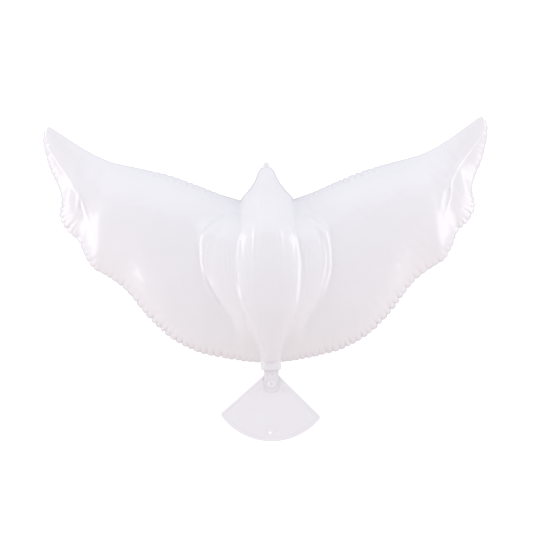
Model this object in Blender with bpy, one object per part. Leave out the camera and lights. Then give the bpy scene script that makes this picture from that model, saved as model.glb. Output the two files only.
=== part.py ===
"""A white film dove balloon that lies on its belly with its wings spread.

The bag is two films sealed along a flat seam. Its neck tube and tab run back over a flat
tail fan, and a press stud holds the two together. +X runs along the wings, +Y towards the
head, +Z up. The floor is z = 0 and the origin lies under the middle of the balloon's box.
"""
from math import asin, atan2, cos, exp, hypot, pi, radians, sin, sqrt

import bmesh
import bpy
from mathutils import Vector

# Driving dimensions of the bag, in metres
WINGSPAN = 0.850
WING_THICKNESS = 0.116
HEAD_THICKNESS = 0.086
BEAK_WIDTH = 0.013
BEAK_LENGTH = 0.008
BEAK_THICKNESS = 0.008
BEAK_ROOT = 0.008
BEAK_ROUNDING = 0.0060
BACK_HEIGHT = 0.092
BELLY_DEPTH = 0.080
BELLY_FLAT = 0.010
SEAM_WIDTH = 0.006
SEAM_THICKNESS = 0.0008

# Driving dimensions of the neck and its tab
NECK_WIDTH = 0.038
NECK_HEIGHT = 0.024
NECK_LENGTH = 0.0145
NECK_ROOT = 0.016
TAB_WIDTH = 0.028
TAB_LENGTH = 0.0415
TAB_THICKNESS = 0.0006
TAB_CORNER = 0.0124

# Driving dimensions of the tail fan, with angles in degrees
FAN_REACH = 0.110
FAN_ARC_RADIUS = 0.120
FAN_HALF_ANGLE = 47.0
FAN_TURN = 3.0
FAN_TOP_WIDTH = 0.0279
FAN_CORNER = 0.006
FAN_THICKNESS = 0.0008
FAN_NECK_GAP = 0.0095
RIBBON_HOLE = 0.004
RIBBON_HOLE_FROM_EDGE = 0.017

# Driving dimensions of the press stud
STUD_FROM_TAB_END = 0.015
CAP_DIAMETER = 0.017
CAP_HEIGHT = 0.0032
DIMPLE_DIAMETER = 0.006
DIMPLE_DEPTH = 0.0016
POST_DIAMETER = 0.004
SOCKET_DIAMETER = 0.014
SOCKET_HEIGHT = 0.0034
SOCKET_FLOOR = 0.0012

GAP = 0.0003
HALF_SPAN = WINGSPAN / 2

# Half of the head's outline from its middle outwards, as shares of half the span
HEAD_OUTLINE = (
    (0.000, 0.511), (0.013, 0.509), (0.025, 0.502), (0.037, 0.486), (0.049, 0.458),
    (0.061, 0.434), (0.084, 0.404), (0.107, 0.379), (0.119, 0.361),
)
TAIL_MIDDLE = -0.371

# Ribs of one wing from the head out to the tip: the leading point, the trailing point and
# the rib's thickness. Points are shares of half the span, thickness is a share of the wing's
WING_RIBS = (
    (0.119, 0.361, 0.119, -0.364, 1.00),
    (0.216, 0.394, 0.216, -0.346, 1.00),
    (0.324, 0.440, 0.328, -0.317, 1.00),
    (0.426, 0.479, 0.445, -0.254, 0.97),
    (0.510, 0.502, 0.548, -0.155, 0.92),
    (0.580, 0.519, 0.643, -0.034, 0.86),
    (0.632, 0.531, 0.724, 0.031, 0.80),
    (0.672, 0.541, 0.791, 0.072, 0.74),
    (0.705, 0.552, 0.827, 0.130, 0.68),
    (0.737, 0.566, 0.854, 0.196, 0.62),
    (0.767, 0.580, 0.903, 0.243, 0.56),
    (0.795, 0.597, 0.935, 0.306, 0.49),
    (0.822, 0.613, 0.924, 0.382, 0.42),
    (0.850, 0.632, 0.935, 0.436, 0.35),
    (0.885, 0.656, 0.971, 0.517, 0.26),
    (0.925, 0.684, 0.996, 0.611, 0.15),
    (0.952, 0.703, 1.000, 0.665, 0.08),
    (0.975, 0.715, 0.993, 0.697, 0.03),
)
WING_SPLIT_COUNT = 2
BODY_SPLIT_COUNT = 3
BODY_RIB_COUNT = 2

# The body from its neck crease to its tail: the place, then half the width and the rise of
# the spine, and of the flanks that it lies on. Places and widths are shares of half the
# span, and rises are shares of the body's height above the wings
BODY_STATIONS = (
    (0.360, 0.060, 0.00, 0.110, 0.00),
    (0.324, 0.076, 0.12, 0.145, 0.12),
    (0.270, 0.103, 0.38, 0.218, 0.30),
    (0.202, 0.126, 0.50, 0.272, 0.43),
    (0.090, 0.139, 0.54, 0.288, 0.46),
    (-0.022, 0.135, 0.55, 0.256, 0.46),
    (-0.135, 0.112, 0.56, 0.189, 0.41),
    (-0.234, 0.074, 0.47, 0.112, 0.27),
    (-0.306, 0.049, 0.33, 0.058, 0.12),
    (-0.371, 0.043, 0.24, 0.045, 0.03),
)
SPINE_EDGE = 0.70
FLANK_EDGE = 0.75
HEAD_TAPER = 0.7
HEAD_BLEND = 0.030
HEAD_SIDE_BLEND = 0.15
NECK_CREASE = 0.333
NECK_CREASE_WIDTH = 0.024
NECK_CREASE_SHARE = 0.06

# How finely the bag is divided from seam to seam, how full its section is at the seam, the
# most that each seam takes of a short rib, as a share, and how wide the neck's end stays
CHORD_STEP_COUNT = 20
EDGE_CROWDING = 0.6
SECTION_FULLNESS = 0.6
SEAM_SHARE = 0.25
NECK_END_BLUNTNESS = 0.3

FILM_COLOR = (0.84, 0.83, 0.86)
STUD_COLOR = (0.85, 0.84, 0.86)


def shade(obj, base_color, roughness):
    """Give an object its own plain material."""
    material = bpy.data.materials.new(obj.name + "_finish")
    material.use_nodes = True
    shader = material.node_tree.nodes["Principled BSDF"]
    shader.inputs["Base Color"].default_value = (*base_color, 1.0)
    shader.inputs["Roughness"].default_value = roughness
    shader.inputs["Metallic"].default_value = 0.0
    obj.data.materials.append(material)


def add_object(name, mesh, base, location=(0.0, 0.0, 0.0)):
    """Place a mesh under the balloon's base, with round faces shaded smooth."""
    obj = bpy.data.objects.new(name, mesh)
    bpy.context.collection.objects.link(obj)
    obj.parent = base
    obj.location = location
    mesh.shade_smooth()
    mesh.set_sharp_from_angle(angle=radians(40))
    return obj


def add_cutter(name, mesh, base, location=(0.0, 0.0, 0.0)):
    """Place a mesh that only shapes another piece."""
    cutter = add_object(name, mesh, base, location)
    cutter.hide_render = True
    cutter.display_type = "WIRE"
    return cutter


def combine(obj, cutter, operation):
    """Join a cutter to a piece, or take it away."""
    modifier = obj.modifiers.new(cutter.name, "BOOLEAN")
    modifier.operation = operation
    modifier.solver = "EXACT"
    modifier.object = cutter


def mesh_from(name, points, faces):
    """Make a closed mesh from points and faces."""
    mesh = bpy.data.meshes.new(name)
    mesh.from_pydata([tuple(point) for point in points], [], faces)
    edit = bmesh.new()
    edit.from_mesh(mesh)
    bmesh.ops.recalc_face_normals(edit, faces=edit.faces)
    edit.to_mesh(mesh)
    edit.free()
    return mesh


def turned(name, profile, sides=24):
    """Turn a profile of (radius, height) points about Z. It starts and ends on the axis."""
    points = [(0.0, 0.0, profile[0][1])]
    rings = []
    for radius, height in profile[1:-1]:
        rings.append(len(points))
        for side in range(sides):
            angle = 2 * pi * side / sides
            points.append((radius * cos(angle), radius * sin(angle), height))
    points.append((0.0, 0.0, profile[-1][1]))
    last = len(points) - 1
    faces = []
    for side in range(sides):
        after = (side + 1) % sides
        faces.append((0, rings[0] + side, rings[0] + after))
        faces.append((last, rings[-1] + after, rings[-1] + side))
        for ring, following in zip(rings, rings[1:]):
            faces.append((ring + side, following + side, following + after, ring + after))
    return mesh_from(name, points, faces)


def slab(name, outline, low, high):
    """Extrude a flat outline between two heights."""
    count = len(outline)
    points = [(x, y, high) for x, y in outline] + [(x, y, low) for x, y in outline]
    faces = [tuple(range(count)), tuple(range(2 * count - 1, count - 1, -1))]
    for index in range(count):
        after = (index + 1) % count
        faces.append((index, index + count, after + count, after))
    return mesh_from(name, points, faces)


def arc(centre, radius, start, end, steps):
    """Points along an arc between two angles in radians."""
    angles = [start + (end - start) * step / steps for step in range(steps + 1)]
    return [(centre[0] + radius * cos(angle), centre[1] + radius * sin(angle)) for angle in angles]


def through(rows, place):
    """Read a smooth curve through rows of numbers. A place of 1.5 is halfway from row 1 to 2."""
    index = min(int(place), len(rows) - 2)
    t = place - index
    before = rows[max(index - 1, 0)]
    after = rows[min(index + 2, len(rows) - 1)]
    values = []
    for p0, p1, p2, p3 in zip(before, rows[index], rows[index + 1], after):
        slope_in = (p2 - p0) / 2
        slope_out = (p3 - p1) / 2
        bend = 2 * (p1 - p2) + slope_in + slope_out
        rise = 3 * (p2 - p1) - 2 * slope_in - slope_out
        values.append(p1 + slope_in * t + rise * t * t + bend * t ** 3)
    return values


def body_section(y):
    """Widths and rises of the spine and the flanks at a place, or None past the body's ends."""
    if not BODY_STATIONS[-1][0] < y < BODY_STATIONS[0][0]:
        return None
    index = 0
    while BODY_STATIONS[index + 1][0] > y:
        index += 1
    first = BODY_STATIONS[index][0]
    following = BODY_STATIONS[index + 1][0]
    return through(BODY_STATIONS, index + (first - y) / (first - following))[1:]


def lobe(x, half_width, height, edge=0.5):
    """Height of a lobe at a distance from its middle line. An edge of one half is round."""
    inside = 1 - (x / half_width) ** 2
    return height * inside ** edge if inside > 0 else 0.0


def head_height(x, y):
    """Height of the head's oval section, or of its base where the place is behind the head."""
    front = HEAD_OUTLINE[0][1]
    base = HEAD_OUTLINE[-1][1]
    place = min(max(y, base), front)
    index = 0
    while HEAD_OUTLINE[index + 1][1] > place:
        index += 1
    (x0, y0), (x1, y1) = HEAD_OUTLINE[index:index + 2]
    half_width = x0 + (x1 - x0) * (y0 - place) / (y0 - y1)
    height = HEAD_THICKNESS / 2 * ((front - place) / (front - base)) ** HEAD_TAPER
    return lobe(x, half_width, height) if half_width > 0 else 0.0


def head_share(x, y):
    """How far a place belongs to the head: 1 in it, fading to 0 behind and beside its base."""
    half_width, base = HEAD_OUTLINE[-1]
    along = min(max((y - base) / HEAD_BLEND + 1, 0.0), 1.0)
    past_side = x / half_width - 1
    across = min(max((HEAD_SIDE_BLEND - past_side) / (2 * HEAD_SIDE_BLEND), 0.0), 1.0)
    return along * across


def film_height(x, y, pillow, crown):
    """Height of one film above the seam's plane where the wing's pillow has a given height."""
    section = body_section(y)
    in_head = head_share(x, y)
    if in_head > 0:
        pillow += (head_height(x, y) - pillow) * in_head
    off_crease = hypot((y - NECK_CREASE) / NECK_CREASE_WIDTH, x / HEAD_OUTLINE[-1][0])
    pillow *= 1 - NECK_CREASE_SHARE * exp(-off_crease ** 2)
    if section is None:
        return pillow
    spine_width, spine_rise, flank_width, flank_rise = section
    above_wings = crown - WING_THICKNESS / 2
    flank = lobe(x, flank_width, max(flank_rise, 0.0) * above_wings, FLANK_EDGE)
    spine = lobe(x, spine_width, max(spine_rise, 0.0) * above_wings, SPINE_EDGE)
    return pillow + flank + spine


def half_ribs():
    """Ribs from the middle to one wing's tip, as leading point, trailing point, thickness."""
    ribs = []
    root = WING_RIBS[0]
    for x, y in HEAD_OUTLINE[:-1]:
        trailing = TAIL_MIDDLE + (root[3] - TAIL_MIDDLE) * (x / root[0]) ** 2
        ribs.append(((x, y), (x, trailing), root[4]))
    for index in range(len(WING_RIBS) - 1):
        splits = BODY_SPLIT_COUNT if index < BODY_RIB_COUNT else WING_SPLIT_COUNT
        for step in range(splits):
            row = through(WING_RIBS, index + step / splits)
            ribs.append(((row[0], row[1]), (row[2], row[3]), row[4]))
    tip = WING_RIBS[-1]
    ribs.append(((tip[0], tip[1]), (tip[2], tip[3]), tip[4]))
    return ribs


def chord_places():
    """Places across a rib from its leading seam, 0, to its trailing seam, 1."""
    places = []
    for step in range(CHORD_STEP_COUNT + 1):
        even = step / CHORD_STEP_COUNT
        crowded = (1 - cos(pi * even)) / 2
        places.append(even + (crowded - even) * EDGE_CROWDING)
    return places


def seam_points(edge, widths, inward):
    """Points one seam's width inside an edge. Inward is -1 along the leading edge, else 1."""
    points = []
    for index, point in enumerate(edge):
        before = edge[index - 1] if index else Vector((-edge[1].x, edge[1].y))
        after = edge[min(index + 1, len(edge) - 1)]
        along = (after - before).normalized()
        points.append(point + Vector((-along.y, along.x)) * inward * widths[index])
    return points


def bag_rows():
    """For each rib from the middle out, its points on the upper film and on the lower film."""
    ribs = half_ribs()
    leading = [Vector(rib[0]) * HALF_SPAN for rib in ribs]
    trailing = [Vector(rib[1]) * HALF_SPAN for rib in ribs]
    lengths = [(last - first).length for first, last in zip(leading, trailing)]
    widths = [min(SEAM_WIDTH, SEAM_SHARE * length) for length in lengths]
    leading_seam = seam_points(leading, widths, -1)
    trailing_seam = seam_points(trailing, widths, 1)
    leading_seam[-1] = leading[-1].lerp(trailing[-1], SEAM_SHARE)
    trailing_seam[-1] = leading[-1].lerp(trailing[-1], 1 - SEAM_SHARE)
    half_seam = SEAM_THICKNESS / 2
    rows = []
    for index, rib in enumerate(ribs):
        upper = [(*leading[index], half_seam)]
        lower = [(*leading[index], -half_seam)]
        for place in chord_places():
            x, y = leading_seam[index].lerp(trailing_seam[index], place)
            back, belly = film_heights(x, y, place, rib[2])
            upper.append((x, y, half_seam + back))
            lower.append((x, y, -min(half_seam + belly, BELLY_DEPTH)))
        upper.append((*trailing[index], half_seam))
        lower.append((*trailing[index], -half_seam))
        rows.append((upper, lower))
    return rows


def film_heights(x, y, place, thickness):
    """Heights of the upper and the lower film above the seam, at a place across a rib."""
    if place in (0.0, 1.0):
        return 0.0, 0.0
    full = (4 * place * (1 - place)) ** SECTION_FULLNESS
    pillow = thickness * WING_THICKNESS / 2 * full
    crowns = (BACK_HEIGHT, BELLY_DEPTH + BELLY_FLAT)
    return [film_height(x / HALF_SPAN, y / HALF_SPAN, pillow, crown) for crown in crowns]


def mirrored(row):
    """A rib's upper and lower points on the other wing."""
    return [[(-x, y, z) for x, y, z in film] for film in row]


def bag_mesh():
    """The inflated bag: an upper and a lower film over a grid of ribs, closed at the seam."""
    half = bag_rows()
    rows = [mirrored(row) for row in reversed(half[1:])] + half
    across = len(rows)
    along = len(rows[0][0])
    points = [point for row in rows for point in row[0]]
    points += [point for row in rows for point in row[1]]
    lower = across * along
    faces = []
    for i in range(across - 1):
        for j in range(along - 1):
            corner = i * along + j
            face = (corner, corner + 1, corner + along + 1, corner + along)
            faces.append(face)
            faces.append(tuple(lower + index for index in reversed(face)))
        for j in (0, along - 1):
            corner = i * along + j
            faces.append((corner, corner + along, lower + corner + along, lower + corner))
    for i in (0, across - 1):
        for j in range(along - 1):
            corner = i * along + j
            faces.append((corner, corner + 1, lower + corner + 1, lower + corner))
    return mesh_from("bag", points, faces)


def beak_mesh():
    """The small round nub at the head's end, from inside the head outwards."""
    front = HEAD_OUTLINE[0][1] * HALF_SPAN
    tip = front + BEAK_LENGTH
    profile = [(0.0, front - BEAK_ROOT), (0.5, front - BEAK_ROOT)]
    for angle in (0.0, 0.4, 0.8, 1.2):
        profile.append((0.5 * cos(angle), tip - BEAK_ROUNDING * (1 - sin(angle))))
    profile.append((0.0, tip))
    mesh = turned("beak", profile, 12)
    for vertex in mesh.vertices:
        x, y, z = vertex.co
        vertex.co = (x * BEAK_WIDTH, z, -y * BEAK_THICKNESS)
    return mesh


def neck_mesh(seam_end):
    """The neck tube: oval rings from inside the bag to a rounded end."""
    sides = 24
    straight = seam_end - NECK_LENGTH + NECK_HEIGHT / 2
    stations = [(seam_end + NECK_ROOT, 1.0), (seam_end, 1.0), (straight, 1.0)]
    for angle in (20, 40, 60, 75):
        stations.append((straight - NECK_HEIGHT / 2 * sin(radians(angle)), sqrt(cos(radians(angle)))))
    points = []
    for y, share in stations:
        half_width = NECK_WIDTH / 2 * share ** NECK_END_BLUNTNESS
        half_height = NECK_HEIGHT / 2 * share
        for side in range(sides):
            angle = 2 * pi * side / sides
            points.append((half_width * cos(angle), y, half_height * sin(angle)))
    faces = [tuple(range(sides)), tuple(range(len(points) - 1, len(points) - sides - 1, -1))]
    for ring in range(len(stations) - 1):
        for side in range(sides):
            after = (side + 1) % sides
            near = ring * sides
            faces.append((near + side, near + after, near + sides + after, near + sides + side))
    return mesh_from("neck_tube", points, faces)


def tab_mesh(seam_end):
    """The flat tab past the neck tube, with round corners."""
    half = TAB_WIDTH / 2
    start = seam_end - NECK_LENGTH / 2
    end = seam_end - NECK_LENGTH - TAB_LENGTH
    inner = half - TAB_CORNER
    outline = [(-half, start)]
    outline += arc((-inner, end + TAB_CORNER), TAB_CORNER, pi, 1.5 * pi, 6)
    outline += arc((inner, end + TAB_CORNER), TAB_CORNER, 1.5 * pi, 2 * pi, 6)
    outline.append((half, start))
    return slab("tab", outline, -TAB_THICKNESS / 2, TAB_THICKNESS / 2)


def fan_outline(top):
    """The tail fan's outline about the press stud, cut square at the top under the neck."""
    spread = radians(FAN_HALF_ANGLE)
    arc_centre = FAN_ARC_RADIUS - FAN_REACH
    half_top = FAN_TOP_WIDTH / 2
    apex = top + half_top / sin(spread) * cos(spread)
    inner = FAN_ARC_RADIUS - FAN_CORNER
    side_shift = (apex - arc_centre) * sin(spread) - FAN_CORNER
    bearing = asin(min(side_shift / inner, 1.0)) + spread
    corner_x = inner * sin(bearing)
    corner_y = arc_centre - inner * cos(bearing)
    corner_angle = atan2(corner_y - arc_centre, corner_x)
    steps = 20
    outline = [(half_top, top)]
    outline += arc((corner_x, corner_y), FAN_CORNER, pi / 2 - spread, corner_angle, 4)
    outline += arc((0.0, arc_centre), FAN_ARC_RADIUS, corner_angle, -pi - corner_angle, steps)[1:-1]
    outline += [(-x, y) for x, y in reversed(outline[:6])]
    return outline


def make_bag(base, seam_end, stud_y):
    """The bag with its neck and tab joined on, and the stud's hole through the tab."""
    bag = add_object("balloon_bag", bag_mesh(), base)
    combine(bag, add_cutter("beak", beak_mesh(), base), "UNION")
    combine(bag, add_cutter("neck_tube", neck_mesh(seam_end), base), "UNION")
    combine(bag, add_cutter("neck_tab", tab_mesh(seam_end), base), "UNION")
    cut_hole(bag, "tab_hole", base, (0.0, stud_y, 0.0), POST_DIAMETER / 2 + GAP)
    shade(bag, FILM_COLOR, 0.25)
    return bag


def cut_hole(sheet, name, base, place, radius):
    """Cut a round hole through a sheet that lies flat."""
    reach = 5 * FAN_THICKNESS
    profile = ((0.0, reach), (radius, reach), (radius, -reach), (0.0, -reach))
    combine(sheet, add_cutter(name, turned(name, profile, 16), base, place), "DIFFERENCE")


def make_fan(base, seam_end, stud_y):
    """The flat tail fan under the tab, with holes for the stud and for a ribbon."""
    top = TAB_THICKNESS / -2 - GAP
    fan_top = seam_end - NECK_LENGTH - FAN_NECK_GAP - stud_y
    mesh = slab("fan", fan_outline(fan_top), -FAN_THICKNESS, 0.0)
    fan = add_object("tail_fan", mesh, base, (0.0, stud_y, top))
    fan.rotation_euler.z = radians(-FAN_TURN)
    cut_hole(fan, "fan_stud_hole", fan, (0.0, 0.0, 0.0), POST_DIAMETER / 2 + GAP)
    cut_hole(fan, "ribbon_hole", fan, (0.0, RIBBON_HOLE_FROM_EDGE - FAN_REACH, 0.0), RIBBON_HOLE / 2)
    shade(fan, FILM_COLOR, 0.35)
    return fan


def make_stud_cap(base, stud_y):
    """The stud's round cap on the tab: a raised ring about a dimple, and a post below."""
    seat = TAB_THICKNESS / 2 + GAP
    rim = CAP_DIAMETER / 2
    dimple = DIMPLE_DIAMETER / 2
    crest = (rim + dimple) / 2
    post_end = -seat - FAN_THICKNESS - 2 * GAP - SOCKET_HEIGHT + SOCKET_FLOOR
    profile = (
        (0.0, CAP_HEIGHT - DIMPLE_DEPTH),
        (dimple * 0.7, CAP_HEIGHT - DIMPLE_DEPTH),
        (dimple, CAP_HEIGHT - DIMPLE_DEPTH / 2),
        (crest - dimple * 0.3, CAP_HEIGHT),
        (crest + dimple * 0.2, CAP_HEIGHT * 0.97),
        (rim * 0.93, CAP_HEIGHT * 0.6),
        (rim, CAP_HEIGHT * 0.25),
        (rim, 0.0),
        (POST_DIAMETER / 2, 0.0),
        (POST_DIAMETER / 2, post_end - seat + GAP),
        (0.0, post_end - seat + GAP),
    )
    cap = add_object("stud_cap", turned("stud_cap", profile), base, (0.0, stud_y, seat))
    shade(cap, STUD_COLOR, 0.3)
    return cap


def make_stud_socket(base, stud_y):
    """The stud's lower half under the fan: a flat cup that the post goes into."""
    seat = -TAB_THICKNESS / 2 - FAN_THICKNESS - 2 * GAP
    rim = SOCKET_DIAMETER / 2
    bore = POST_DIAMETER / 2 + GAP
    profile = (
        (0.0, SOCKET_FLOOR - SOCKET_HEIGHT),
        (bore, SOCKET_FLOOR - SOCKET_HEIGHT),
        (bore, 0.0),
        (rim, 0.0),
        (rim, -SOCKET_HEIGHT * 0.4),
        (rim * 0.8, -SOCKET_HEIGHT),
        (0.0, -SOCKET_HEIGHT),
    )
    socket = add_object("stud_socket", turned("stud_socket", profile), base, (0.0, stud_y, seat))
    shade(socket, STUD_COLOR, 0.3)
    return socket


def stand_on_floor(base, pieces):
    """Move the base so that the box of all pieces stands on the floor about the origin."""
    bpy.context.view_layer.update()
    corners = [piece.matrix_world @ vertex.co for piece in pieces for vertex in piece.data.vertices]
    middle = (min(point.y for point in corners) + max(point.y for point in corners)) / 2
    base.location = (0.0, -middle, BELLY_DEPTH)


def build():
    """Build the whole balloon about an empty in the seam's plane."""
    for obj in list(bpy.data.objects):
        bpy.data.objects.remove(obj, do_unlink=True)
    base = bpy.data.objects.new("seam_plane", None)
    bpy.context.collection.objects.link(base)
    seam_end = TAIL_MIDDLE * HALF_SPAN
    stud_y = seam_end - NECK_LENGTH - TAB_LENGTH + STUD_FROM_TAB_END
    bag = make_bag(base, seam_end, stud_y)
    fan = make_fan(base, seam_end, stud_y)
    cap = make_stud_cap(base, stud_y)
    socket = make_stud_socket(base, stud_y)
    stand_on_floor(base, (bag, fan, cap, socket))


build()
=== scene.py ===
"""Dress a white film dove balloon and light it for its portrait from straight above.

The bag follows the ribs of its solid, drawn finer, with softer body sections and thinner wing
tips, and gets the pleats, folds and waves of real film. Lengths are in metres unless a name
says otherwise.
"""
import logging
from dataclasses import dataclass
from enum import Enum
from math import asin, atan2, cos, pi, radians, sin

import bmesh
import bpy
import numpy as np
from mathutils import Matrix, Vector


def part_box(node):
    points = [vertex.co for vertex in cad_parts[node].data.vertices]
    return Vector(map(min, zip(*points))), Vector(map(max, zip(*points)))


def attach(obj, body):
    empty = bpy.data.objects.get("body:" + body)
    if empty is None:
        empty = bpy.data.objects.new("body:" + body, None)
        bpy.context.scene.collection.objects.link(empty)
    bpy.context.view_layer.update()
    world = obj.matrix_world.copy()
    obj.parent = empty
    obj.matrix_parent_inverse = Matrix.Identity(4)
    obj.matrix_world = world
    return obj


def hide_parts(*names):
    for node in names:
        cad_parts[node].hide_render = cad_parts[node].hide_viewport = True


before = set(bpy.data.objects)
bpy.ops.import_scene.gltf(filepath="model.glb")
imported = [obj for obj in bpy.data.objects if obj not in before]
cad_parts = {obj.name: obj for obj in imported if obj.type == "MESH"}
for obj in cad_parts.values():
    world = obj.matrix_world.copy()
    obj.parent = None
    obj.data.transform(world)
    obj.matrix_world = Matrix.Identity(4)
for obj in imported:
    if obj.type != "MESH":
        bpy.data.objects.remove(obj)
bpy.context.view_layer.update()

Array = np.ndarray
Point = tuple[float, float]

logging.basicConfig(level=logging.INFO, format="%(message)s")
LOG = logging.getLogger("dove_balloon")

HALF_SPAN = 0.425
SEAM_HEIGHT = 0.080

# Y of the bag's trailing edge at its middle, as a share of half the span
TAIL_MIDDLE = -0.371

# From the bag's trailing edge to the stud's middle
STUD_FROM_SEAM = 0.041

# The photograph's side and the balloon's span in it, in pixels
PHOTO_SIDE = 533
PHOTO_SPAN = 445.0

# Steps between two rows of a table where a curve through them is drawn
STEPS_PER_ROW = 40

# Places that are looked up along a seam at one time, to keep memory small
PLACES_AT_ONCE = 4096

# Half of the head's outline from its middle outwards, as shares of half the span
HEAD_OUTLINE = np.array((
    (0.000, 0.511), (0.013, 0.509), (0.025, 0.502), (0.037, 0.486), (0.049, 0.458),
    (0.061, 0.434), (0.084, 0.404), (0.107, 0.379), (0.119, 0.361),
))

# Ribs of one wing from the head out to the tip: leading point, trailing point and thickness
# share, then how strongly the leading and the trailing seam are pleated
WING_RIBS = np.array((
    (0.119, 0.361, 0.119, -0.364, 1.00, 0.05, 0.70),
    (0.216, 0.394, 0.216, -0.346, 1.00, 0.30, 0.85),
    (0.324, 0.440, 0.328, -0.317, 1.00, 0.75, 1.00),
    (0.426, 0.479, 0.445, -0.254, 0.97, 0.75, 1.00),
    (0.510, 0.502, 0.548, -0.155, 0.92, 0.35, 1.00),
    (0.580, 0.519, 0.643, -0.034, 0.83, 0.12, 0.80),
    (0.632, 0.531, 0.724, 0.031, 0.74, 0.10, 0.60),
    (0.672, 0.541, 0.791, 0.072, 0.65, 0.10, 0.70),
    (0.705, 0.552, 0.827, 0.130, 0.54, 0.10, 0.70),
    (0.737, 0.566, 0.854, 0.196, 0.45, 0.10, 0.70),
    (0.767, 0.580, 0.903, 0.243, 0.37, 0.10, 0.80),
    (0.795, 0.597, 0.935, 0.306, 0.30, 0.10, 0.80),
    (0.822, 0.613, 0.924, 0.382, 0.24, 0.10, 0.35),
    (0.850, 0.632, 0.935, 0.436, 0.18, 0.10, 0.35),
    (0.885, 0.656, 0.971, 0.517, 0.12, 0.12, 0.45),
    (0.925, 0.684, 0.996, 0.611, 0.07, 0.15, 0.45),
    (0.952, 0.703, 1.000, 0.665, 0.04, 0.20, 0.60),
    (0.975, 0.715, 0.993, 0.697, 0.03, 0.20, 0.40),
))

# The body from its neck crease to its tail: place, half width and rise of the spine, half
# width and rise of the flank. Rises are shares of the body's height above the wings
BODY_STATIONS = np.array((
    (0.410, 0.046, 0.00, 0.085, 0.00),
    (0.360, 0.060, 0.04, 0.112, 0.08),
    (0.324, 0.076, 0.08, 0.145, 0.20),
    (0.270, 0.103, 0.19, 0.218, 0.49),
    (0.202, 0.126, 0.25, 0.272, 0.68),
    (0.090, 0.139, 0.27, 0.288, 0.73),
    (-0.022, 0.135, 0.27, 0.256, 0.74),
    (-0.135, 0.112, 0.28, 0.189, 0.69),
    (-0.234, 0.074, 0.32, 0.112, 0.42),
    (-0.306, 0.049, 0.30, 0.058, 0.15),
    (-0.371, 0.043, 0.24, 0.045, 0.03),
))


class Side(Enum):
    """Which film of the bag, as the sign of its height."""

    UPPER = 1
    LOWER = -1


def through(rows: Array, places: Array) -> Array:
    """Read a smooth curve through rows of numbers.

    Args:
        rows: The numbers, one row for each whole place.
        places: Where to read, such as 1.5 for halfway from row 1 to row 2.

    Returns:
        One row for each place.
    """
    index = np.clip(places.astype(int), 0, len(rows) - 2)
    t = (places - index)[:, None]
    before = rows[np.maximum(index - 1, 0)]
    after = rows[np.minimum(index + 2, len(rows) - 1)]
    first, second = rows[index], rows[index + 1]
    slope_in = (second - before) / 2
    slope_out = (after - first) / 2
    bend = 2 * (first - second) + slope_in + slope_out
    rise = 3 * (second - first) - 2 * slope_in - slope_out
    return first + slope_in * t + rise * t ** 2 + bend * t ** 3


def lobe(x: Array, half_width: Array, height: Array, edge: float = 0.5) -> Array:
    """Height of a lobe at a distance from its middle line, round for an edge of one half."""
    return height * np.clip(1 - (x / np.maximum(half_width, 1e-6)) ** 2, 0.0, 1.0) ** edge


def waves(x: Array, y: Array, seed: int, wavelength: float, height: float, count: int = 9) -> Array:
    """Soft random unevenness over a plane.

    Args:
        x: Places along X.
        y: Places along Y, in the same shape.
        seed: Chooses the pattern.
        wavelength: About how far apart the waves are.
        height: About how high the sum of all waves rises.
        count: How many waves are added up.

    Returns:
        Heights in the shape of x.
    """
    rng = np.random.default_rng(seed)
    total = np.zeros_like(x)
    for _ in range(count):
        angle = rng.uniform(0, 2 * pi)
        rate = 2 * pi / (wavelength * rng.uniform(0.7, 1.5))
        total += np.sin(rate * (x * cos(angle) + y * sin(angle)) + rng.uniform(0, 2 * pi))
    return total * height / np.sqrt(count)


def linear(hex_colour: str) -> tuple[float, float, float, float]:
    """Turn an sRGB colour into linear values with full opacity.

    Args:
        hex_colour: Six digits such as "F0EEF2".

    Returns:
        Red, green, blue and opacity.
    """
    channels = [int(hex_colour[place:place + 2], 16) / 255 for place in (0, 2, 4)]
    values = [c / 12.92 if c <= 0.04045 else ((c + 0.055) / 1.055) ** 2.4 for c in channels]
    return (*values, 1.0)


def mesh_object(
    name: str, points: list, faces: list, sharp_degrees: float = 50.0,
) -> bpy.types.Object:
    """Make a smooth-shaded object from points and faces.

    Args:
        name: The piece's name.
        points: Corners in world coordinates.
        faces: Tuples of corner numbers.
        sharp_degrees: Edges that bend more than this stay sharp.

    Returns:
        The new object, linked to the scene.
    """
    mesh = bpy.data.meshes.new(name)
    mesh.from_pydata(points, [], faces)
    mesh.update()
    mesh.shade_smooth()
    mesh.set_sharp_from_angle(angle=radians(sharp_degrees))
    obj = bpy.data.objects.new(name, mesh)
    bpy.context.collection.objects.link(obj)
    return obj


def turned(profile: list, sides: int) -> tuple[list, list]:
    """Turn a profile about Z.

    Args:
        profile: (radius, height) pairs that start and end on the axis.
        sides: Steps around.

    Returns:
        Points and faces.
    """
    points = [(0.0, 0.0, profile[0][1])]
    rings = []
    for radius, height in profile[1:-1]:
        rings.append(len(points))
        for side in range(sides):
            angle = 2 * pi * side / sides
            points.append((radius * cos(angle), radius * sin(angle), height))
    points.append((0.0, 0.0, profile[-1][1]))
    last = len(points) - 1
    faces = []
    for side in range(sides):
        after = (side + 1) % sides
        faces.append((0, rings[0] + side, rings[0] + after))
        faces.append((last, rings[-1] + after, rings[-1] + side))
        for ring, following in zip(rings, rings[1:]):
            faces.append((ring + side, following + side, following + after, ring + after))
    return points, faces


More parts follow.
